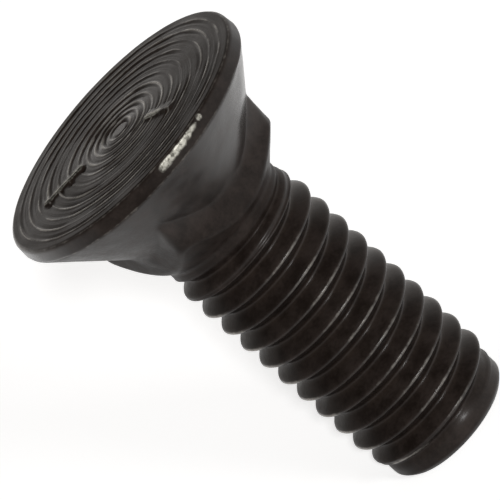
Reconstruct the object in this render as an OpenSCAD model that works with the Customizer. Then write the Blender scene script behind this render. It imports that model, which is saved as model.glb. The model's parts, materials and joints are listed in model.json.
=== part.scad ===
// Plow bolt: flat countersunk head, square neck and a rolled coarse thread.
// One forged piece, drawn along its own axis from the face of the head and then stood on its flat tip,
// so that the face looks up. A bolt that lies on its round rim and its thread would roll.

/* [Length] */
// Overall length from the face of the head to the tip
bolt_l = 31.75; // [26:0.25:60]

/* [Head] */
// Largest diameter of the head, at the rear edge of its rim
head_d = 20.8; // [18.5:0.1:26]
// Width of the plain rim band between the face and the cone
rim_h = 1.1; // [0.6:0.05:2]
// How much narrower the rim is at the face than at its rear edge, on the radius
rim_draft = 0.04; // [0:0.02:0.3]
// Radius of the rounded edge between the face and the rim
face_edge_r = 0.25; // [0.1:0.05:0.5]
// Included angle of the countersunk cone
head_angle = 80; // [70:1:95]
// Radius of the fillet that leads the cone into the neck
fillet_r = 2; // [0.5:0.1:3]

/* [Face rings] */
// Number of turned rings on the face
ring_count = 10; // [0:1:10]
// Radius of the innermost ring
ring_first_r = 1.6; // [1:0.1:2]
// Width of a ring's groove
ring_w = 0.42; // [0.2:0.02:0.5]
// Width of the plain land between two rings
ring_gap = 0.42; // [0.2:0.02:0.5]
// Depth of a ring's groove
ring_depth = 0.12; // [0.05:0.01:0.3]

/* [Square neck] */
// How far each flat of the neck stands proud of the thread
neck_proud = 0.2; // [0.05:0.05:1]
// How much the rounding takes off each corner of the neck, where the corners begin to round off
neck_corner_cut = 0.55; // [0.1:0.05:1]
// Distance from the face to where the neck's corners begin to round off
neck_corner_l = 6.4; // [5.5:0.1:9]
// Angle at which the corners draw in along the neck
neck_corner_draft = 10; // [0:1:20]
// Radius at which the corners round off towards the thread
neck_shoulder_r = 0.8; // [0.5:0.1:2.5]
// Turn of the neck's flats about the bolt's axis
neck_turn = -22; // [-45:1:45]

/* [Thread] */
// Major diameter of the thread
thread_d = 11.1; // [9.5:0.1:13]
// Pitch of the thread, fourteen turns to the inch
thread_pitch = 1.8143; // [1.4:0.0001:2.4]
// Distance from the end of the neck to where the thread is at its full height
thread_gap = 2.9; // [0:0.1:3]
// Length over which the thread rises from the neck
thread_rise = 2.4; // [0.6:0.1:3]
// Distance from the tip to the last full crest
thread_stop = 3.1; // [2:0.1:5]
// Length over which the thread fades out towards the tip
thread_fade = 1.8; // [1:0.1:1.9]
// How far the plain point at the tip lies below the crests
point_drop = 0.5; // [0.3:0.05:0.8]
// Chamfer on the end of the point
point_chamfer = 0.4; // [0.1:0.05:0.8]
// Turn of the helix about the bolt's axis
thread_turn = 200; // [0:5:355]

/* [Hidden] */
$fn = 96;
steel = [0.13, 0.12, 0.11];

// Head
head_r = head_d / 2;
half_angle = head_angle / 2;
rim_front_r = head_r - rim_draft;
arc_steps = 6;

// Neck
neck_w = thread_d + 2 * neck_proud;
neck_r = neck_w / 2;
corner_r = neck_r * sqrt(2) - neck_corner_cut;
fillet_top_r = neck_r + fillet_r * (1 - cos(half_angle));
fillet_top_z = rim_h + (head_r - fillet_top_r) / tan(half_angle);
fillet_end_z = fillet_top_z + fillet_r * sin(half_angle);
// The corner's bend into the slope towards the thread
shoulder_slope = 45;
bend_mid_r = corner_r - neck_shoulder_r * cos(neck_corner_draft);
bend_mid_z = neck_corner_l - neck_shoulder_r * sin(neck_corner_draft);
shoulder_r = bend_mid_r + neck_shoulder_r * cos(shoulder_slope);
shoulder_z = bend_mid_z + neck_shoulder_r * sin(shoulder_slope);

// Thread: sixty degree flanks, with flats at root and crest and the crest's edges eased
thread_r = thread_d / 2;
thread_depth = 0.6134 * thread_pitch;
root_r = thread_r - thread_depth;
point_r = thread_r - point_drop;
crest_flat = 1 / 8;
crest_land = 0.3 * crest_flat;
flank = thread_depth / thread_pitch * tan(30);
root_flat = 1 - crest_flat - 2 * flank;
crest_ease = 0.08;
crest_mid = root_flat + flank + crest_flat / 2;
// Each profile point is its place along the pitch and its height between root and crest
profile = [
    [0, 0],
    [root_flat, 0],
    [root_flat + flank * (1 - crest_ease), 1 - crest_ease],
    [crest_mid - crest_land, 1],
    [crest_mid + crest_land, 1],
    [1 - flank * (1 - crest_ease), 1 - crest_ease]
];
turn_steps = 36;
profile_n = len(profile);
// The neck tapers off until it meets the plain point's diameter
neck_end_z = shoulder_z + shoulder_r - point_r;
thread_full_z = neck_end_z + thread_gap;
// The helix begins buried in the neck and runs past the tip, where the point trims it
helix_start = neck_end_z - 1.2 * thread_pitch;
helix_steps = ceil((bolt_l + 0.1 * thread_pitch - helix_start) / thread_pitch * turn_steps);

function ramp(x) = min(1, max(0, x));
// Share of the full thread height at a distance from the face
function thread_share(z) =
    ramp((z - thread_full_z + thread_rise) / thread_rise)
    * ramp((bolt_l - thread_stop + thread_fade - z) / thread_fade);
function helix_point(step, j) =
    let (
        z = helix_start + thread_pitch * (step / turn_steps + profile[j][0]),
        full_r = root_r + thread_depth * profile[j][1],
        r = point_r + thread_share(z) * (full_r - point_r),
        a = thread_turn + 360 * step / turn_steps
    )
    [r * cos(a), r * sin(a), z];
// A profile's end is the start of the same profile one turn on
function helix_id(step, j) =
    j == profile_n ? helix_id(step + turn_steps, 0)
    : step <= helix_steps ? step * profile_n + j
    : (helix_steps + 1) * profile_n + step - helix_steps - 1;
function arc(centre, r, from, to) =
    [for (i = [0 : arc_steps]) let (a = from + (to - from) * i / arc_steps) centre + r * [cos(a), sin(a)]];

// The face holds as many of its rings as it has room for
module face_and_cone() {
    rings = [
        for (i = [0 : ring_count - 1])
        let (r = ring_first_r + i * (ring_w + ring_gap))
        if (r + ring_w / 2 < rim_front_r - face_edge_r)
        each [[r - ring_w / 2, 0], [r, ring_depth], [r + ring_w / 2, 0]]
    ];
    edge = arc([rim_front_r - face_edge_r, face_edge_r], face_edge_r, -90, 0);
    fillet = arc([neck_r + fillet_r, fillet_end_z], fillet_r, 180 + half_angle, 180);
    rotate_extrude()
    polygon(concat([[0, 0]], rings, edge, [[head_r, rim_h]], fillet, [[0, fillet_end_z]]));
}

// The square is cut to round corners, which draw in along the neck and then slope off towards the thread
module square_neck() {
    shoulder = arc([bend_mid_r, bend_mid_z], neck_shoulder_r, neck_corner_draft, shoulder_slope);
    end_z = shoulder_z + shoulder_r - root_r;
    first_r = corner_r + (neck_corner_l - rim_h) * tan(neck_corner_draft);
    intersection() {
        rotate([0, 0, neck_turn])
        translate([-neck_r, -neck_r, rim_h])
        cube([neck_w, neck_w, end_z - rim_h]);
        rotate_extrude()
        polygon(concat([[0, rim_h], [first_r, rim_h]], shoulder, [[root_r, end_z], [0, end_z]]));
    }
}

module helix() {
    last = helix_steps;
    start_mid = (helix_steps + 1) * profile_n + turn_steps;
    end_mid = start_mid + 1;
    points = concat(
        [for (step = [0 : last], j = [0 : profile_n - 1]) helix_point(step, j)],
        [for (step = [last + 1 : last + turn_steps]) helix_point(step, 0)],
        [
            [0, 0, helix_start + thread_pitch / 2],
            [0, 0, helix_start + thread_pitch * (last / turn_steps + 0.5)]
        ]
    );
    sides = [
        for (step = [0 : last - 1], j = [0 : profile_n - 1])
        let (
            a = helix_id(step, j),
            b = helix_id(step + 1, j),
            c = helix_id(step + 1, j + 1),
            d = helix_id(step, j + 1)
        )
        each [[a, d, c], [a, c, b]]
    ];
    start_cap = concat(
        [for (s = [0 : turn_steps - 1]) [start_mid, helix_id(s, 0), helix_id(s + 1, 0)]],
        [for (j = [0 : profile_n - 1]) [start_mid, helix_id(0, j + 1), helix_id(0, j)]]
    );
    end_cap = concat(
        [for (s = [last - turn_steps : last - 1])
            [end_mid, helix_id(s + 1, profile_n), helix_id(s, profile_n)]],
        [for (j = [0 : profile_n - 1]) [end_mid, helix_id(last, j), helix_id(last, j + 1)]]
    );
    polyhedron(points, concat(sides, start_cap, end_cap), convexity = 10);
}

module threaded_shank() {
    reach = thread_d;
    intersection() {
        helix();
        rotate_extrude()
        polygon([
            [0, 0],
            [reach, 0],
            [reach, bolt_l + point_r - point_chamfer - reach],
            [point_r - point_chamfer, bolt_l],
            [0, bolt_l]
        ]);
    }
}

module plow_bolt() {
    color(steel)
    translate([0, 0, bolt_l])
    rotate([180, 0, 0])
    union() {
        face_and_cone();
        square_neck();
        threaded_shank();
    }
}

plow_bolt();
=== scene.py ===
"""Looks of a plow bolt: black oxide on forged steel, with a turned face and a rolled thread."""

import json
import math

import bmesh
import bpy
from mathutils import Matrix, Vector, noise


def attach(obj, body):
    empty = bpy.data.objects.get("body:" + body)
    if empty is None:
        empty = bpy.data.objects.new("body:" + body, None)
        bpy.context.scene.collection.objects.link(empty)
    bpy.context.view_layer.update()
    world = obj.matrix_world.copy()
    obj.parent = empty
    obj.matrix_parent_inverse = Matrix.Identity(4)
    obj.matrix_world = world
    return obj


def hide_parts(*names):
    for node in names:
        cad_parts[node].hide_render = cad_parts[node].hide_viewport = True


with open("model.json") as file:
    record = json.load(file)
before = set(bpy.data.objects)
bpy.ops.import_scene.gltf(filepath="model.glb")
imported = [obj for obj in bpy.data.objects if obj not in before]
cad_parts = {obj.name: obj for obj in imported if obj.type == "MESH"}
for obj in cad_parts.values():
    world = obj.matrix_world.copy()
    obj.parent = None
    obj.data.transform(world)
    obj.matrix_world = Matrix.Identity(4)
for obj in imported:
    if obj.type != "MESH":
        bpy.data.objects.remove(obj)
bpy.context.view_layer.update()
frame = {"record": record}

MM = 0.001

# Sizes in millimetres and turns in degrees, along the bolt's own axis from its face to its tip
BOLT_L = 31.75
HEAD_R = 10.4
RIM_FRONT_R = 10.36
RIM_H = 1.1
FACE_EDGE_R = 0.32
REAR_EDGE_R = 0.1
REAR_BEVEL = 0.02
HALF_ANGLE = math.radians(40)
FILLET_R = 2.0
NECK_R = 5.75
NECK_EASE = 0.3
NECK_TURN = -22.0
CORNER_CUT = 0.55
CORNER_L = 6.4
CORNER_DRAFT = math.radians(10)
SHOULDER_BEND = 0.8
SHOULDER_SLOPE = math.radians(45)
THREAD_R = 5.55
PITCH = 1.8143
THREAD_TURN = 200.0
THREAD_GAP = 2.9
THREAD_RISE = 2.4
THREAD_STOP = 2.8
THREAD_FADE = 1.8
SEAM_DEPTH = 0.1
POINT_DROP = 0.5
POINT_CHAMFER = 0.4
TIP_EASE = 0.12

# The thread's depth and the flat on its crest as shares of the pitch, and its turns inside the neck
DEPTH_SHARE = 0.6134
CREST_FLAT = 1 / 8
BURIED_TURNS = 1.2

# Rounding where shapes meet, and of the thread's crests and roots, which gain more as they fill
CONE_BLEND = 0.15
THREAD_BLEND = 0.25
CREST_EASE = 0.08
CREST_EASE_GAIN = 0.22
ROOT_EASE = 0.01
ROOT_EASE_GAIN = 0.49

# Width of the seam along a crest that hasn't filled, as a share of the crest's
SEAM_WIDTH = 0.85

# Values that follow from them
FACE_R = RIM_FRONT_R - FACE_EDGE_R
FILLET_TOP_R = NECK_R + FILLET_R * (1 - math.cos(HALF_ANGLE))
FILLET_TOP_Z = RIM_H + (HEAD_R - FILLET_TOP_R) / math.tan(HALF_ANGLE)
FILLET_END_Z = FILLET_TOP_Z + FILLET_R * math.sin(HALF_ANGLE)
CORNER_R = NECK_R * math.sqrt(2) - CORNER_CUT
BEND_MID_R = CORNER_R - SHOULDER_BEND * math.cos(CORNER_DRAFT)
BEND_MID_Z = CORNER_L - SHOULDER_BEND * math.sin(CORNER_DRAFT)
SHOULDER_R = BEND_MID_R + SHOULDER_BEND * math.cos(SHOULDER_SLOPE)
SHOULDER_Z = BEND_MID_Z + SHOULDER_BEND * math.sin(SHOULDER_SLOPE)
POINT_R = THREAD_R - POINT_DROP
END_R = POINT_R - POINT_CHAMFER
NECK_END_Z = SHOULDER_Z + SHOULDER_R - POINT_R
THREAD_FULL_Z = NECK_END_Z + THREAD_GAP
THREAD_OUT_Z = BOLT_L - THREAD_STOP + THREAD_FADE
HELIX_START = NECK_END_Z - BURIED_TURNS * PITCH
THREAD_DEPTH = DEPTH_SHARE * PITCH
ROOT_R = THREAD_R - THREAD_DEPTH
FLANK_SLOPE = 1 / math.tan(math.radians(30))
CREST_MID = 1 - CREST_FLAT / 2 - DEPTH_SHARE / FLANK_SLOPE
APEX_R = THREAD_R + PITCH * CREST_FLAT / 2 * FLANK_SLOPE

# Turned rings of the face: a groove with a lip outside it, each so far from the ring's own radius
RING_RADII = (0.85, 1.55, 2.2, 2.95, 3.8, 4.75, 5.75, 6.65, 7.55, 8.4, 9.3)
GROOVE_DEPTH = 0.07
GROOVE_OFF = -0.07
GROOVE_HALF = 0.2
LIP_H = 0.06
LIP_OFF = 0.13
LIP_HALF = 0.16
RING_REACH = 0.4

# How strong the rings are, which also grows towards the middle; a wave is its height and its size
RING_MEAN = 0.7
RING_WAVE = (1.1, 2.4)
RING_FAINTEST = 0.15
INNER_RING_R = 5.0
INNER_RING_FADE = 2.0
INNER_RING_GAIN = 0.4

# How far the rings run out of true, and where the face is plain
RING_DRIFT = (0.06, 2.5)
RING_SHIFT = 0.1
RING_SHIFT_FADE = 3.0
RING_TRUE_R = 9.0
FACE_LUMP = (0.035, 3.5)
FACE_PLAIN_R = 9.9
FACE_FADE = 0.3

# Depth at which a groove is rusty all over, and height at which a lip is worn all over
RUST_DEPTH = 0.06
WORN_LIP_H = 0.045

# Raised bars of the face: turn about the axis, inner and outer radius, and which side slopes far
BARS = ((188.0, 3.4, 7.2, 1), (56.0, 3.0, 6.1, -1))
BAR_H = 0.18
BAR_NEAR = 0.3
BAR_FAR = 0.85
BAR_END = 0.3
BAR_WOBBLE = (0.1, 1.2)
BAR_REACH = 40.0

# The bars past this turn are bright all along, and the others out to a radius
BAR_BRIGHT_TURN = 120.0
BAR_BRIGHT_R = 5.2
BAR_BRIGHT_FADE = 0.8

# How far up a bar its painted highlight of bare steel reaches, how worn its ridge is, and how much satin
# its painted shade takes
BAR_HIGHLIGHT = 1.1
BAR_HIGHLIGHT_FROM = 0.4
BAR_HIGHLIGHT_RISE = 0.3
BAR_WEAR = 0.8
BAR_SHADE = 0.85

# Small dents beside the first bar, by place across the face
DENTS = ((-6.8, -0.3), (-4.8, 0.0), (-3.6, -0.1))
DENT_R = 0.42
DENT_DEPTH = 0.1

# Satin of the face and of its middle
FACE_SATIN = 0.34
MIDDLE_SATIN = 0.61
MIDDLE_R = 6.0
SATIN_WAVE = (0.12, 2.2)

# The duller side of the face, by turn about the axis and by radius
DULL_TURN = 60.0
DULL_REACH = 60.0
DULL_FROM_R = 3.0
DULL_RISE = 3.0
DULL_LOSS = 0.14

# The scrape on the rim, by turn about the axis and by distance from the face
SCRAPE_FROM = 68.5
SCRAPE_TO = 91.0
SCRAPE_Z = 0.34
SCRAPE_DRIFT = 0.1
SCRAPE_WOBBLE = (0.03, 5.0)
SCRAPE_HALF = 0.16
SCRAPE_WIDENS = 0.12
JAG_TURN = 1.8

# How bare the scrape is at its start and end, and how fast that grows from there
SCRAPE_START = 0.4
SCRAPE_RISE = 2.5
SCRAPE_END = 0.5
SCRAPE_FALL = 7.0

# How jagged and how soft the scrape's front and rear edges are
FRONT_JAG = (0.03, 0.25)
REAR_JAG = (0.13, 0.4)

# The nick beside the scrape
NICK_TURN = 66.6
NICK_Z = 0.29
NICK_R = 0.18
NICK_SOFT = 0.3
NICK_BARE = 1.2

# The rim's worn edges: the front one by radius, and the rear one by its reach on the rim and on the cone
EDGE_WEAR = 0.5
WORN_EDGE_R = 10.22
WORN_EDGE_HALF = 0.14
WORN_EDGE_TO = 0.4
WORN_EDGE_FADE = 0.2
REAR_REACH_RIM = 0.2
REAR_REACH_CONE = 0.22

# The rim's satin, its dark patch of scale and its brighter side, by turn about the axis
RIM_SATIN = 0.2
SCALE_TURN = 111.0
SCALE_REACH = 18.0
SCALE_FADE = 10.0
SCALE_WAVE = (0.8, 1.3)
LIT_SATIN = 0.55
LIT_FROM = 125.0
LIT_RISE = 30.0
LIT_TO = 280.0
LIT_FALL = 60.0

# Unevenness of the rim and its rear edge, the forged cone and neck, and the rolled thread
RIM_BROAD = (0.03, 2.4)
RIM_FINE = (0.012, 0.8)
RIM_EDGE = (0.06, 1.6)
RIM_EDGE_FROM = 0.5
RIM_EDGE_RISE = 0.4
FORGED_BROAD = (0.05, 3.0)
FORGED_FINE = (0.02, 1.0)
ROLLED_FINE = (0.012, 1.4)
FORGED_END = 9.2
FORGED_FADE = 1.5

# Height on the thread, as a share of its depth, that counts as crest or as rusty root
CREST_FROM = 0.86
CREST_RISE = 0.12
ROOT_RUST_TO = 0.35

# How rubbed the crests are all round and on the lips of a seam, and where painted glints and reflections
# lie on them most, by turn about the axis
CREST_RUB = 0.1
SEAM_LIP = 0.8
SEAM_LIP_HALF = 0.07
GLINT = 0.9
GLINT_TURN = 78.0
GLINT_REACH = 50.0
SIDE_GLINT = 1.6
SIDE_GLINT_TURN = 166.0
SIDE_GLINT_REACH = 36.0
MOST_CREST_WEAR_AND_GLINT = 0.62

# Where a glint is painted on the thread's last turn as rubbed steel, by turn about the axis and by
# distance from the tip
END_GLINT_TURN = 135.0
END_GLINT_REACH = 40.0
END_GLINT_L = 2.05
END_GLINT_HALF = 0.35

# Worn stretch of the neck's corners along the bolt, and its width by turn about the axis
MOST_CORNER_WEAR = 0.15
CORNER_WEAR_FROM = 4.6
CORNER_WEAR_RISE = 0.8
CORNER_WEAR_TO = 8.4
CORNER_WEAR_TURN = 8.1

# Satin of cone, neck and thread: how strong, how much more to one side, and where it lies along the bolt
LEAST_SATIN = 0.05
CONE_SATIN = 0.52
CONE_SIDE = 0.4
CONE_SATIN_TO = 6.6
CONE_SATIN_FADE = 2.0
NECK_SATIN = 0.1
NECK_SIDE = 0.09
NECK_SATIN_TO = 9.0
ROLLED_SATIN = 0.25
ROLLED_SIDE = 0.23
ROLLED_SATIN_FROM = 10.0
CREST_SATIN = 0.4

# Length of the plain point, and how much satin it loses
POINT_L = 3.0
POINT_RISE = 0.8
POINT_LOSS = 0.35

# Mesh steps
HEAD_STEPS = 300
THREAD_STEPS = 150
CREST_ROWS = (0.0, 0.04, 0.065, 0.095, 0.17, 0.26, 0.345, 0.39, 0.44, 0.5)
FACE_ROW = 0.095
NECK_ROW = 0.15
RIM_ROWS = 8
EDGE_ROWS = 8
TIP_ROWS = (3.4, 2.2, 1.0)
TIP_STEP = 0.01
JOIN_Z = 9.4
JOIN_GAP = 0.05
END_Z = BOLT_L - TIP_EASE
SPARE_TURNS = 2
MERGE = 0.002
CUT = 0.0005

# Colours of the finish, and the sizes of its grain; worn steel also paints glints on the crests, bare
# steel paints highlights on the bars and rust paints shade beside them
OXIDE_DARK = (0.0076, 0.0053, 0.0043, 1)
OXIDE_PALE = (0.0202, 0.0152, 0.0131, 1)
RUST_AND_SHADE = (0.011, 0.0068, 0.0045, 1)
WORN_STEEL_AND_GLINT = (0.32, 0.30, 0.27, 1)
BARE_DULL_AND_HIGHLIGHT = (0.12, 0.116, 0.1, 1)
BARE_BRIGHT_AND_HIGHLIGHT = (0.46, 0.45, 0.4, 1)
CLOUD_SIZE = 1.6
CHIP_SIZE = 0.5
GRAIN_SIZE = 0.22
LINE_SIZE = 0.16
BUMP_H = 0.012

# Floor, with half its width in metres
FLOOR_HALF = 3.0
FLOOR_COLOUR = (0.86, 0.86, 0.86, 1)
FLOOR_GLOW = 0.59

# Lamps, by where their light comes from across, towards the camera and along the bolt
KEY_FROM = (0.30, 0.90, -0.31)
KEY_ENERGY = 1.2
KEY_ANGLE = 10.0
FRONT_FROM = (0.03, 0.93, -0.36)
FRONT_ENERGY = 1.8
FRONT_ANGLE = 3.0

# The sky's brightness by height
SKY = ((0.06, 1.0), (0.34, 0.55), (0.65, 0.12), (1.0, 0.06))
SKY_TINT = (1.04, 1.0, 0.96)

# View of the bolt: its tilt to the camera, and the face's place before the camera in millimetres
PICTURE_PX = 500
FOCAL_PX = 7298.4
AXIS_TURN = math.radians(41.271)
AXIS_TILT = math.radians(69.636)
FACE_FROM_CAMERA = (-8.733, -8.0, 486.6)
SENSOR = 36.0
CLIP_NEAR = 0.01
CLIP_FAR = 20.0


def ramp(x):
    """The value held between 0 and 1."""
    return min(1.0, max(0.0, x))


def ease(x):
    """A soft step from 0 to 1."""
    x = ramp(x)
    return x * x * (3 - 2 * x)


def smooth_max(a, b, blend):
    """The larger value, with a rounded change from one to the other."""
    h = max(blend - abs(a - b), 0.0) / blend
    return max(a, b) + h * h * blend / 4


def smooth_min(a, b, blend):
    """The smaller value, with a rounded change from one to the other."""
    return -smooth_max(-a, -b, blend)


def hump(x):
    """A soft bump of height 1 between -1 and 1."""
    return max(0.0, 1 - x * x) ** 2


def turn_gap(turn, other):
    """Angle from one turn to another, between -180 and 180."""
    return (turn - other + 180) % 360 - 180


def flat_gap(turn):
    """Angle from the middle of the nearest flat of the neck, between -45 and 45."""
    return (turn - NECK_TURN + 45) % 90 - 45


def wave(place, height, size):
    """Smooth noise of about that height and size, above and below 0 and the same in each run."""
    return height * noise.noise(Vector(place) / size)


def cone_r(s):
    """Radius of the countersunk cone and its fillet at a distance from the face."""
    if s < FILLET_TOP_Z:
        return HEAD_R - (s - RIM_H) * math.tan(HALF_ANGLE)
    if s < FILLET_END_Z:
        z = (FILLET_END_Z - s) / FILLET_R
        return NECK_R + FILLET_R * (1 - math.sqrt(1 - z * z))
    return NECK_R - (s - FILLET_END_Z)


def neck_r(turn, s):
    """Radius of the square neck, whose rounded corners draw in and then slope off towards the thread."""
    if s < CORNER_L:
        limit = CORNER_R + (CORNER_L - s) * math.tan(CORNER_DRAFT)
    elif s < SHOULDER_Z:
        limit = BEND_MID_R + math.sqrt(SHOULDER_BEND ** 2 - (s - BEND_MID_Z) ** 2)
    else:
        limit = SHOULDER_R - (s - SHOULDER_Z) * math.tan(SHOULDER_SLOPE)
    square = NECK_R / math.cos(math.radians(flat_gap(turn)))
    return smooth_min(square, limit + NECK_EASE / 5, NECK_EASE)


def crest_gap(turn, s):
    """Distance from the middle of the nearest crest, as a share of the pitch."""
    t = (s - HELIX_START) / PITCH - (turn - THREAD_TURN) / 360
    return abs((t - CREST_MID + 0.5) % 1 - 0.5)


def thread_share(s, rise):
    """Share of the full thread at a distance from the face, where it rises over a length."""
    up = ramp((s - THREAD_FULL_Z + THREAD_RISE) / rise)
    fade = ramp((THREAD_OUT_Z - s) / THREAD_FADE)
    return ease(up) * ease(fade)


def crest_share(s):
    """Share of the crests' full height at a distance from the face."""
    return thread_share(s, THREAD_RISE)


def root_share(s):
    """Share of the roots' full depth at a distance from the face, where they come before the crests."""
    return thread_share(s, THREAD_RISE / 2)


def crest_half(high):
    """Half the width of a crest that is flat at a share of its height, as a share of the pitch."""
    return (APEX_R - POINT_R - high * (THREAD_R - POINT_R)) / (PITCH * FLANK_SLOPE)


def thread_r(turn, s):
    """Radius of the rolled thread: the roots are pressed in before the crests, flat at first, fill."""
    high = crest_share(s)
    deep = root_share(s)
    gap = crest_gap(turn, s)
    flank = APEX_R - gap * PITCH * FLANK_SLOPE
    top = POINT_R + high * (THREAD_R - POINT_R)
    bottom = POINT_R - deep * (POINT_R - ROOT_R)
    seam = SEAM_DEPTH * 4 * high * (1 - high) * hump(gap / (SEAM_WIDTH * crest_half(high)))
    crest = smooth_min(flank, top, CREST_EASE + CREST_EASE_GAIN * high) - seam
    return smooth_max(min(crest, top), bottom, ROOT_EASE + ROOT_EASE_GAIN * deep)


def shank_r(turn, s):
    """Radius of everything behind the rim."""
    body = smooth_max(cone_r(s), neck_r(turn, s), CONE_BLEND)
    r = smooth_max(body, thread_r(turn, s), THREAD_BLEND)
    return smooth_min(r, END_R + BOLT_L - s, TIP_EASE)


def ring_profile(x):
    """A turned groove with a lip on its outer side."""
    lip = LIP_H * hump((x - LIP_OFF) / LIP_HALF)
    return lip - GROOVE_DEPTH * hump((x - GROOVE_OFF) / GROOVE_HALF)


def ring_height(place, r):
    """Height of the face's rings, each of which grows fainter and stronger on its way round."""
    height = 0.0
    for i, ring in enumerate(RING_RADII):
        if abs(r - ring) < RING_REACH:
            seed = 5.0 * i
            inner = INNER_RING_GAIN * ramp((INNER_RING_R - ring) / INNER_RING_FADE)
            strength = RING_MEAN + wave((place.x, place.y, seed), *RING_WAVE) + inner
            drift = wave((place.x, place.y, seed + 2), *RING_DRIFT)
            height += max(RING_FAINTEST, strength) * ring_profile(r - ring - drift)
    return height


def bar_share(r, turn):
    """How far up a raised bar a point of the face stands, and how deep in its shade, from 0 to 1."""
    share = 0.0
    shade = 0.0
    for middle, inner, outer, far in BARS:
        gap = turn_gap(turn, middle)
        if abs(gap) > BAR_REACH:
            continue
        across = far * math.sin(math.radians(gap)) * r + wave((r, middle, 0), *BAR_WOBBLE)
        slope = 1 - across / BAR_FAR if across > 0 else ease(1 + across / BAR_NEAR)
        length = ramp(0.5 - max(inner - r, r - outer) / BAR_END)
        share = max(share, ramp(slope) * length)
        shade = max(shade, hump((across + BAR_NEAR) / BAR_NEAR) * length)
    return share, shade


def dent_share(x, y):
    """How far into one of the small dents a point of the face lies, from 0 to 1."""
    return max(hump(math.hypot(x - dx, y - dy) / DENT_R) for dx, dy in DENTS)


def scrape_share(turn, s):
    """How bare the rim is where something scraped it: a streak that widens and one nick beside it."""
    along = (turn - SCRAPE_FROM) / (SCRAPE_TO - SCRAPE_FROM)
    middle = SCRAPE_Z + SCRAPE_DRIFT * ramp(along) + wave((turn, 20, 0), *SCRAPE_WOBBLE)
    jag, soft = FRONT_JAG if s < middle else REAR_JAG
    half = SCRAPE_HALF + SCRAPE_WIDENS * ramp(along) + wave((turn, 0, 0), jag, JAG_TURN)
    across = ramp(0.5 + (half - abs(s - middle)) / soft)
    ends = ramp(SCRAPE_START + along * SCRAPE_RISE) * ramp(SCRAPE_END + (1 - along) * SCRAPE_FALL)
    away = math.hypot(math.radians(turn - NICK_TURN) * HEAD_R, s - NICK_Z)
    return max(across * ends, NICK_BARE * ramp(0.5 + (NICK_R - away) / NICK_SOFT))


def head_outline():
    """Radius and distance from the face, from the middle of the face to the neck."""
    face_rows = int(FACE_R / FACE_ROW)
    points = [(FACE_R * i / face_rows, 0.0) for i in range(1, face_rows)]
    for i in range(EDGE_ROWS + 1):
        a = math.radians(90 * i / EDGE_ROWS)
        points.append((FACE_R + FACE_EDGE_R * math.sin(a), FACE_EDGE_R * (1 - math.cos(a))))
    for i in range(1, RIM_ROWS):
        share = i / RIM_ROWS
        z = FACE_EDGE_R + share * (RIM_H - REAR_EDGE_R - FACE_EDGE_R)
        points.append((RIM_FRONT_R + share * (HEAD_R - RIM_FRONT_R), z))
    points.append((HEAD_R, RIM_H - REAR_EDGE_R))
    points.append((HEAD_R - REAR_BEVEL, RIM_H - REAR_BEVEL))
    first = RIM_H + REAR_EDGE_R
    last = JOIN_Z - JOIN_GAP
    rows = int((last - first) / NECK_ROW)
    heights = [first + (last - first) * i / rows for i in range(rows + 1)]
    return points + [(cone_r(z), z) for z in heights]


def spun_head(bm):
    """The head and neck, spun from their outline and closed at the middle of the face."""
    outline = [bm.verts.new((r, 0, z)) for r, z in [(0, 0)] + head_outline()]
    edges = [bm.edges.new(pair) for pair in zip(outline, outline[1:])]
    bmesh.ops.spin(
        bm, geom=outline + edges, cent=(0, 0, 0), axis=(0, 0, 1),
        angle=2 * math.pi, steps=HEAD_STEPS, use_merge=True,
    )
    bmesh.ops.remove_doubles(bm, verts=bm.verts, dist=MERGE)


def only(kind, geometry):
    """The vertices or the edges among an operator's results."""
    return [g for g in geometry if isinstance(g, kind)]


def spun_thread(bm):
    """The thread's skin: one turn of it spun along the helix and repeated, cut square at both ends."""
    first = JOIN_Z - SPARE_TURNS * PITCH
    first -= (first - HELIX_START) % PITCH
    rows = CREST_ROWS + tuple(1 - row for row in reversed(CREST_ROWS[:-1]))
    strip = [bm.verts.new((THREAD_R, 0, first + PITCH * (row + CREST_MID))) for row in rows]
    edges = [bm.edges.new(pair) for pair in zip(strip, strip[1:])]
    bmesh.ops.spin(
        bm, geom=strip + edges, cent=(0, 0, 0), axis=(0, 0, 1), dvec=(0, 0, PITCH / THREAD_STEPS),
        angle=2 * math.pi, steps=THREAD_STEPS,
    )
    start = Matrix.Rotation(math.radians(THREAD_TURN), 3, "Z")
    bmesh.ops.rotate(bm, verts=bm.verts, cent=(0, 0, 0), matrix=start)
    one_turn = bm.verts[:] + bm.edges[:] + bm.faces[:]
    turns = math.ceil((BOLT_L - JOIN_Z) / PITCH) + SPARE_TURNS
    for turn in range(1, turns + 1):
        copy = bmesh.ops.duplicate(bm, geom=one_turn)["geom"]
        bmesh.ops.translate(bm, verts=only(bmesh.types.BMVert, copy), vec=(0, 0, turn * PITCH))
    bmesh.ops.remove_doubles(bm, verts=bm.verts, dist=MERGE)
    for height, side in ((JOIN_Z, -1), (END_Z, 1)):
        bmesh.ops.bisect_plane(
            bm, geom=bm.verts[:] + bm.edges[:] + bm.faces[:], dist=CUT,
            plane_co=(0, 0, height), plane_no=(0, 0, side), clear_outer=True,
        )


def open_edges(bm, low, high):
    """The open edges between two heights."""
    return [
        edge for edge in bm.edges
        if edge.is_boundary and all(low < vert.co.z < high for vert in edge.verts)
    ]


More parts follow.
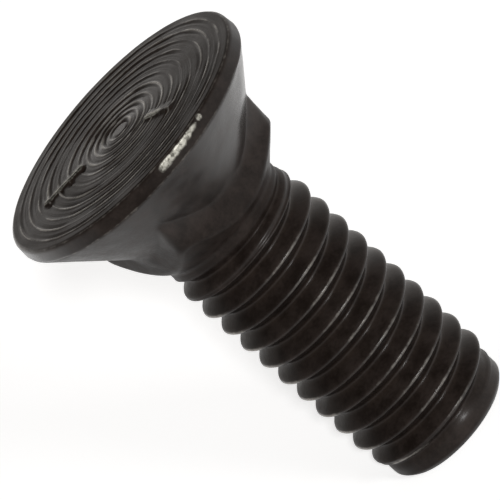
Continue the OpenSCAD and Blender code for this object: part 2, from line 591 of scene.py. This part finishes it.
def close_tip(bm):
    """The chamfer's last step and the flat end, drawn in from the cut thread to its middle."""
    edges = open_edges(bm, END_Z - TIP_STEP, END_Z + TIP_STEP)
    rows = [(END_R, BOLT_L - TIP_STEP), (END_R - TIP_EASE, BOLT_L)]
    rows += [(r, BOLT_L) for r in TIP_ROWS]
    for r, z in rows:
        made = bmesh.ops.extrude_edge_only(bm, edges=edges)["geom"]
        for vert in only(bmesh.types.BMVert, made):
            flat = Vector((vert.co.x, vert.co.y, 0)).normalized() * r
            vert.co = (flat.x, flat.y, z)
        edges = only(bmesh.types.BMEdge, made)
    made = bmesh.ops.extrude_edge_only(bm, edges=edges)["geom"]
    bmesh.ops.pointmerge(bm, verts=only(bmesh.types.BMVert, made), merge_co=(0, 0, BOLT_L))


def finish(vert, layers, **shares):
    """Gives a point of the skin its finish values by name."""
    for name, share in shares.items():
        vert[layers[name]] = share


def shape_face(vert, layers, r, turn):
    """Rings, bars, dents and the slow waves of the turned face."""
    x, y = vert.co.xy
    fade = ramp((FACE_PLAIN_R - r) / FACE_FADE)
    bar, shade = bar_share(r, turn)
    dent = dent_share(x, y)
    shift = RING_SHIFT * math.cos(math.radians(turn)) * ramp((RING_TRUE_R - r) / RING_SHIFT_FADE)
    rings = ring_height(vert.co, r - shift) * (1 - bar) * (1 - dent)
    lump = wave((x, y, 3.0), *FACE_LUMP) * fade
    vert.co.z = -(rings * fade + BAR_H * bar - DENT_DEPTH * dent + lump)
    bright = 1.0 if turn > BAR_BRIGHT_TURN else ramp((BAR_BRIGHT_R - r) / BAR_BRIGHT_FADE)
    dull = hump(turn_gap(turn, DULL_TURN) / DULL_REACH) * ramp((r - DULL_FROM_R) / DULL_RISE)
    satin = FACE_SATIN + MIDDLE_SATIN * hump(r / MIDDLE_R) - DULL_LOSS * dull
    satin += wave((x, y, 7.0), *SATIN_WAVE)
    # The bars' ridges get a painted highlight as bare steel, and their steep sides a painted shade as
    # rust and less satin.
    finish(
        vert, layers, turned=fade,
        recess=max(ramp(-rings / RUST_DEPTH), dent, shade) * fade,
        wear=max(BAR_WEAR * bar ** 4, ramp(rings / WORN_LIP_H)) * fade,
        bare=BAR_HIGHLIGHT * ramp((bar - BAR_HIGHLIGHT_FROM) / BAR_HIGHLIGHT_RISE) * bright,
        gloss=satin * (1 - dent) * (1 - BAR_SHADE * shade),
    )


def shape_rim(vert, layers, r, turn):
    """The rim band: uneven from the forging, worn on both edges and scraped bare in one place."""
    x, y, z = vert.co
    front = hump((r - WORN_EDGE_R) / WORN_EDGE_HALF) * ramp((WORN_EDGE_TO - z) / WORN_EDGE_FADE)
    rear = hump((z - RIM_H) / REAR_REACH_RIM)
    patch = (SCALE_REACH - abs(turn_gap(turn, SCALE_TURN))) / SCALE_FADE + wave((x, y, z), *SCALE_WAVE)
    lit = ease((turn - LIT_FROM) / LIT_RISE) * ramp((LIT_TO - turn) / LIT_FALL)
    finish(
        vert, layers,
        wear=EDGE_WEAR * max(front, rear),
        bare=scrape_share(turn, z),
        gloss=(RIM_SATIN + LIT_SATIN * lit) * (1 - ramp(0.5 + patch)),
    )
    push = wave((x, y, z), *RIM_BROAD) + wave((x, y, z + 9), *RIM_FINE)
    vert.co.z += wave((x, y, 5.0), *RIM_EDGE) * ramp((z - RIM_EDGE_FROM) / RIM_EDGE_RISE)
    vert.co.x += x / r * push
    vert.co.y += y / r * push


def shank_push(x, y, s):
    """How far a point of the shank lies out of true, which is more where it was forged."""
    forged = ramp((FORGED_END - s) / FORGED_FADE)
    push = wave((x, y, s), *FORGED_BROAD) + wave((x, y, s + 5), *FORGED_FINE)
    return forged * push + (1 - forged) * wave((x, y, s), *ROLLED_FINE)


def crest_wear(turn, s, height):
    """How rubbed the thread is: on full crests, and on both lips of a crest that hasn't filled, with
    painted glints laid on as worn steel where highlights and reflections fall on the crests.
    """
    high = crest_share(s)
    full = ramp((height - CREST_FROM) / CREST_RISE)
    lip = (1 - high) * hump((crest_gap(turn, s) - crest_half(high)) / SEAM_LIP_HALF)
    near = GLINT * hump(turn_gap(turn, GLINT_TURN) / GLINT_REACH)
    side = SIDE_GLINT * hump(turn_gap(turn, SIDE_GLINT_TURN) / SIDE_GLINT_REACH)
    return root_share(s) * max(full, SEAM_LIP * lip) * (CREST_RUB + near + side)


def end_wear(turn, s):
    """Painted glint on the thread's last turn near the tip, laid on as rubbed steel."""
    along = hump((s - BOLT_L + END_GLINT_L) / END_GLINT_HALF)
    return along * hump(turn_gap(turn, END_GLINT_TURN) / END_GLINT_REACH)


def corner_wear(turn, s):
    """How worn the neck's corners are."""
    edge = MOST_CORNER_WEAR * hump((abs(flat_gap(turn)) - 45) / CORNER_WEAR_TURN)
    return edge * ramp(CORNER_WEAR_TO - s) * ramp((s - CORNER_WEAR_FROM) / CORNER_WEAR_RISE)


def shank_satin(turn, s, crest):
    """Gloss of the cone, the neck and the thread, stronger towards one side of the bolt."""
    side = math.cos(math.radians(turn))
    on_cone = ramp((CONE_SATIN_TO - s) / CONE_SATIN_FADE)
    on_point = ramp((s - BOLT_L + POINT_L) / POINT_RISE)
    cone = (CONE_SATIN + CONE_SIDE * side) * on_cone
    neck = (NECK_SATIN + NECK_SIDE * side) * (1 - on_cone) * ramp(NECK_SATIN_TO - s)
    rolled = (ROLLED_SATIN + ROLLED_SIDE * side) * ramp(s - ROLLED_SATIN_FROM)
    rolled *= 1 - POINT_LOSS * on_point
    return max(cone + neck, LEAST_SATIN, rolled + CREST_SATIN * min(1.0, crest))


def shape_shank(vert, layers, turn):
    """Cone, neck and thread: each point goes out to the radius of the bolt there."""
    x, y, s = vert.co
    r = shank_r(turn, s)
    flat = Vector((x, y, 0)).normalized() * (r + shank_push(x, y, s))
    vert.co.x = flat.x
    vert.co.y = flat.y
    height = ramp((r - ROOT_R) / THREAD_DEPTH)
    crest = crest_wear(turn, s, height)
    rear = hump((s - RIM_H) / REAR_REACH_CONE)
    # Wear on the crests also paints glints and reflections, and on the last turn a painted glint near
    # the tip.
    finish(
        vert, layers,
        wear=max(MOST_CREST_WEAR_AND_GLINT * crest, end_wear(turn, s), corner_wear(turn, s), EDGE_WEAR * rear),
        recess=root_share(s) * ramp((ROOT_RUST_TO - height) / ROOT_RUST_TO),
        gloss=shank_satin(turn, s, crest),
    )


def shape_point(vert, layers):
    """Sends a point of the plain skin to its place on the bolt and gives it its finish values."""
    x, y, z = vert.co
    r = math.hypot(x, y)
    turn = math.degrees(math.atan2(y, x)) % 360
    if z > RIM_H + REAR_EDGE_R / 2:
        shape_shank(vert, layers, turn)
    elif r < FACE_R and z < MERGE:
        shape_face(vert, layers, r, turn)
    else:
        shape_rim(vert, layers, r, turn)


def bolt_pose():
    """Matrix from the bolt's own axis, in millimetres, to the place where it stands."""
    face = next(m for m in frame["record"]["mounts"] if m["name"] == "head_face")
    along = -Vector(face["axis"]).normalized()
    side = Vector((1, 0, 0))
    pose = Matrix((side, along.cross(side), along)).transposed().to_4x4()
    pose.translation = Vector(face["pos_m"])
    return pose @ Matrix.Scale(MM, 4)


def plow_bolt():
    """The whole bolt as one closed skin."""
    thread = bmesh.new()
    spun_thread(thread)
    skin = bpy.data.meshes.new("thread_skin")
    thread.to_mesh(skin)
    thread.free()
    bm = bmesh.new()
    spun_head(bm)
    bm.from_mesh(skin)
    bpy.data.meshes.remove(skin)
    names = ("wear", "bare", "recess", "gloss", "turned")
    layers = {name: bm.verts.layers.float.new(name) for name in names}
    for vert in bm.verts:
        shape_point(vert, layers)
    bmesh.ops.bridge_loops(bm, edges=open_edges(bm, JOIN_Z - 4 * JOIN_GAP, JOIN_Z + JOIN_GAP))
    close_tip(bm)
    bmesh.ops.recalc_face_normals(bm, faces=bm.faces)
    for face in bm.faces:
        face.smooth = True
    mesh = bpy.data.meshes.new("plow_bolt_skin")
    bm.to_mesh(mesh)
    bm.free()
    mesh.transform(bolt_pose())
    piece = bpy.data.objects.new("plow_bolt_skin", mesh)
    bpy.context.scene.collection.objects.link(piece)
    return piece


def feed(tree, socket, value):
    """Links a socket to another node's output, or sets its plain value."""
    if isinstance(value, bpy.types.NodeSocket):
        tree.links.new(value, socket)
    else:
        socket.default_value = value


def maths(tree, operation, *values):
    """The result of a Math node."""
    made = tree.nodes.new("ShaderNodeMath")
    made.operation = operation
    for socket, value in zip(made.inputs, values):
        feed(tree, socket, value)
    return made.outputs[0]


def stretched(tree, value, low, high):
    """A value brought to between 0 and 1, where low and high were."""
    made = tree.nodes.new("ShaderNodeMapRange")
    made.interpolation_type = "SMOOTHSTEP"
    feed(tree, made.inputs["Value"], value)
    made.inputs["From Min"].default_value = low
    made.inputs["From Max"].default_value = high
    return made.outputs["Result"]


def between(tree, share, below, above):
    """A colour between two others, by a share from 0 to 1."""
    made = tree.nodes.new("ShaderNodeMix")
    made.data_type = "RGBA"
    sockets = {socket.identifier: socket for socket in made.inputs}
    feed(tree, sockets["Factor_Float"], share)
    feed(tree, sockets["A_Color"], below)
    feed(tree, sockets["B_Color"], above)
    return next(socket for socket in made.outputs if socket.identifier == "Result_Color")


def speckle(tree, place, size, detail=3.0, rough=0.55):
    """Noise of about that size in millimetres, between 0 and 1."""
    made = tree.nodes.new("ShaderNodeTexNoise")
    made.inputs["Scale"].default_value = 1 / (size * MM)
    made.inputs["Detail"].default_value = detail
    made.inputs["Roughness"].default_value = rough
    tree.links.new(place, made.inputs["Vector"])
    return made.outputs["Fac"]


def tool_lines(tree, place, size):
    """Fine lines round the bolt's axis, of about that width in millimetres, between 0 and 1."""
    parts = tree.nodes.new("ShaderNodeSeparateXYZ")
    tree.links.new(place, parts.inputs[0])
    x, y = parts.outputs["X"], parts.outputs["Y"]
    squares = maths(tree, "MULTIPLY_ADD", y, y, maths(tree, "MULTIPLY", x, x))
    made = tree.nodes.new("ShaderNodeTexNoise")
    made.noise_dimensions = "1D"
    made.inputs["Scale"].default_value = 1 / (size * MM)
    made.inputs["Detail"].default_value = 2.0
    tree.links.new(maths(tree, "SQRT", squares), made.inputs["W"])
    return made.outputs["Fac"]


def layer(tree, name):
    """One of the skin's finish values."""
    made = tree.nodes.new("ShaderNodeAttribute")
    made.attribute_name = name
    return made.outputs["Fac"]


def black_oxide():
    """Dark oxide over steel: brown-black, satin, worn on its edges, bare where it was scraped, with
    painted glints on the crests, painted highlights on the bars and painted shade beside them.
    """
    material = bpy.data.materials.new("black_oxide")
    material.use_nodes = True
    tree = material.node_tree
    shader = tree.nodes["Principled BSDF"]
    shader.inputs["Specular IOR Level"].default_value = 0.06
    shader.inputs["Coat Roughness"].default_value = 0.24
    place = tree.nodes.new("ShaderNodeTexCoord").outputs["Object"]
    cloud = speckle(tree, place, CLOUD_SIZE, 4.0, 0.6)
    grain = speckle(tree, place, GRAIN_SIZE, 2.0)
    chips = speckle(tree, place, CHIP_SIZE)
    lines = tool_lines(tree, place, LINE_SIZE)

    # Oxide, browner in the grooves and roots, and painted shade in the same brown beside the bars' steep
    # sides
    mottle = stretched(tree, maths(tree, "MULTIPLY_ADD", grain, 0.35, cloud), 0.45, 0.95)
    colour = between(tree, mottle, OXIDE_DARK, OXIDE_PALE)
    rust_and_shade = maths(tree, "MULTIPLY", layer(tree, "recess"), stretched(tree, cloud, 0.3, 0.65))
    colour = between(tree, maths(tree, "MULTIPLY", rust_and_shade, 0.6), colour, RUST_AND_SHADE)

    # Steel that shows through where it is worn, and all of it where it is bare; the same steel paints
    # glints on the crests and highlights on the bars' ridges
    rubbed_and_glint = maths(tree, "MULTIPLY_ADD", chips, 0.8, layer(tree, "wear"))
    worn_and_glint = maths(tree, "MULTIPLY", stretched(tree, rubbed_and_glint, 0.7, 1.5), 0.6)
    colour = between(tree, worn_and_glint, colour, WORN_STEEL_AND_GLINT)
    ragged = maths(tree, "MULTIPLY_ADD", chips, 0.3, layer(tree, "bare"))
    bare = stretched(tree, ragged, 0.45, 1.0)
    flecks = stretched(tree, maths(tree, "ADD", grain, chips), 0.78, 1.15)
    colour = between(tree, bare, colour, between(tree, flecks, BARE_DULL_AND_HIGHLIGHT, BARE_BRIGHT_AND_HIGHLIGHT))
    feed(tree, shader.inputs["Base Color"], colour)
    feed(tree, shader.inputs["Metallic"], maths(tree, "MAXIMUM", worn_and_glint, bare))

    # Satin, which bare steel and the bars' painted highlights haven't
    sheen = maths(tree, "MULTIPLY", layer(tree, "gloss"), maths(tree, "SUBTRACT", 1.0, bare))
    feed(tree, shader.inputs["Coat Weight"], sheen)
    rough = maths(tree, "MULTIPLY_ADD", mottle, 0.14, 0.34)
    rough = maths(tree, "MULTIPLY_ADD", grain, 0.1, rough)
    rough = maths(tree, "MULTIPLY_ADD", worn_and_glint, -0.25, rough)
    feed(tree, shader.inputs["Roughness"], rough)

    # Fine relief, with tool lines on the turned face
    cut = maths(tree, "MULTIPLY", lines, layer(tree, "turned"))
    height = maths(tree, "MULTIPLY_ADD", cloud, 1.2, maths(tree, "MULTIPLY_ADD", cut, 5.0, grain))
    bump = tree.nodes.new("ShaderNodeBump")
    bump.inputs["Strength"].default_value = 0.6
    bump.inputs["Distance"].default_value = BUMP_H * MM
    feed(tree, bump.inputs["Height"], height)
    feed(tree, shader.inputs["Normal"], bump.outputs["Normal"])
    return material


def seen_share(tree):
    """1 for what the camera sees, straight, mirrored or through glass, and 0 for other light."""
    path = tree.nodes.new("ShaderNodeLightPath").outputs
    mirrored = maths(tree, "MAXIMUM", path["Is Glossy Ray"], path["Is Transmission Ray"])
    return maths(tree, "MAXIMUM", path["Is Camera Ray"], mirrored)


def pale_floor():
    """A large plain sheet under the bolt that shows white and keeps the shadow."""
    bm = bmesh.new()
    bmesh.ops.create_grid(bm, x_segments=1, y_segments=1, size=FLOOR_HALF)
    mesh = bpy.data.meshes.new("floor")
    bm.to_mesh(mesh)
    bm.free()
    floor = bpy.data.objects.new("floor", mesh)
    bpy.context.scene.collection.objects.link(floor)
    material = bpy.data.materials.new("pale_sweep")
    material.use_nodes = True
    tree = material.node_tree
    shader = tree.nodes["Principled BSDF"]
    shader.inputs["Base Color"].default_value = FLOOR_COLOUR
    shader.inputs["Roughness"].default_value = 0.9
    shader.inputs["Specular IOR Level"].default_value = 0.1
    shader.inputs["Emission Color"].default_value = (1, 1, 1, 1)
    glow = maths(tree, "MULTIPLY", seen_share(tree), FLOOR_GLOW)
    feed(tree, shader.inputs["Emission Strength"], glow)
    floor.data.materials.append(material)


def place_camera():
    """The camera that sees the bolt as the photograph does."""
    across, near, along = bolt_pose().to_3x3().normalized().col
    turn_c, turn_s = math.cos(AXIS_TURN), math.sin(AXIS_TURN)
    tilt_c, tilt_s = math.cos(AXIS_TILT), math.sin(AXIS_TILT)
    right = turn_s * across + turn_c * tilt_c * near + turn_c * tilt_s * along
    down = -turn_c * across + turn_s * tilt_c * near + turn_s * tilt_s * along
    ahead = -tilt_s * near + tilt_c * along
    x, y, z = FACE_FROM_CAMERA
    data = bpy.data.cameras.new("camera")
    data.sensor_width = SENSOR
    data.lens = SENSOR * FOCAL_PX / PICTURE_PX
    data.clip_start = CLIP_NEAR
    data.clip_end = CLIP_FAR
    camera = bpy.data.objects.new("camera", data)
    matrix = Matrix((right, -down, -ahead)).transposed().to_4x4()
    matrix.translation = bolt_pose().translation - (x * right + y * down + z * ahead) * MM
    camera.matrix_world = matrix
    bpy.context.scene.collection.objects.link(camera)
    bpy.context.scene.camera = camera


def soft_lamp(name, come_from, energy, angle, mirrored):
    """A lamp far off in a direction given across, towards the camera and along the bolt."""
    data = bpy.data.lights.new(name, "SUN")
    data.energy = energy
    data.angle = math.radians(angle)
    lamp = bpy.data.objects.new(name, data)
    lamp.visible_glossy = mirrored
    lamp.rotation_mode = "QUATERNION"
    lamp.rotation_quaternion = (bolt_pose().to_3x3() @ Vector(come_from)).to_track_quat("Z", "Y")
    bpy.context.scene.collection.objects.link(lamp)


def studio_world():
    """Even light that is white at the horizon and falls off to a dark ceiling."""
    world = bpy.data.worlds.new("studio")
    world.use_nodes = True
    tree = world.node_tree
    parts = tree.nodes.new("ShaderNodeSeparateXYZ")
    tree.links.new(tree.nodes.new("ShaderNodeTexCoord").outputs["Generated"], parts.inputs[0])
    sky = tree.nodes.new("ShaderNodeValToRGB")
    tree.links.new(parts.outputs["Z"], sky.inputs["Fac"])
    stops = sky.color_ramp.elements
    for height, _ in SKY[1:-1]:
        stops.new(height)
    for stop, (height, level) in zip(stops, SKY):
        stop.position = height
        stop.color = [tint * level for tint in SKY_TINT] + [1]
    tree.links.new(sky.outputs["Color"], tree.nodes["Background"].inputs["Color"])
    bpy.context.scene.world = world


bolt = plow_bolt()
bolt.data.materials.append(black_oxide())
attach(bolt, "root")
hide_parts("plow_bolt")
pale_floor()
place_camera()
soft_lamp("key", KEY_FROM, KEY_ENERGY, KEY_ANGLE, True)
soft_lamp("front", FRONT_FROM, FRONT_ENERGY, FRONT_ANGLE, False)
studio_world()
bpy.context.scene.view_settings.view_transform = "Standard"
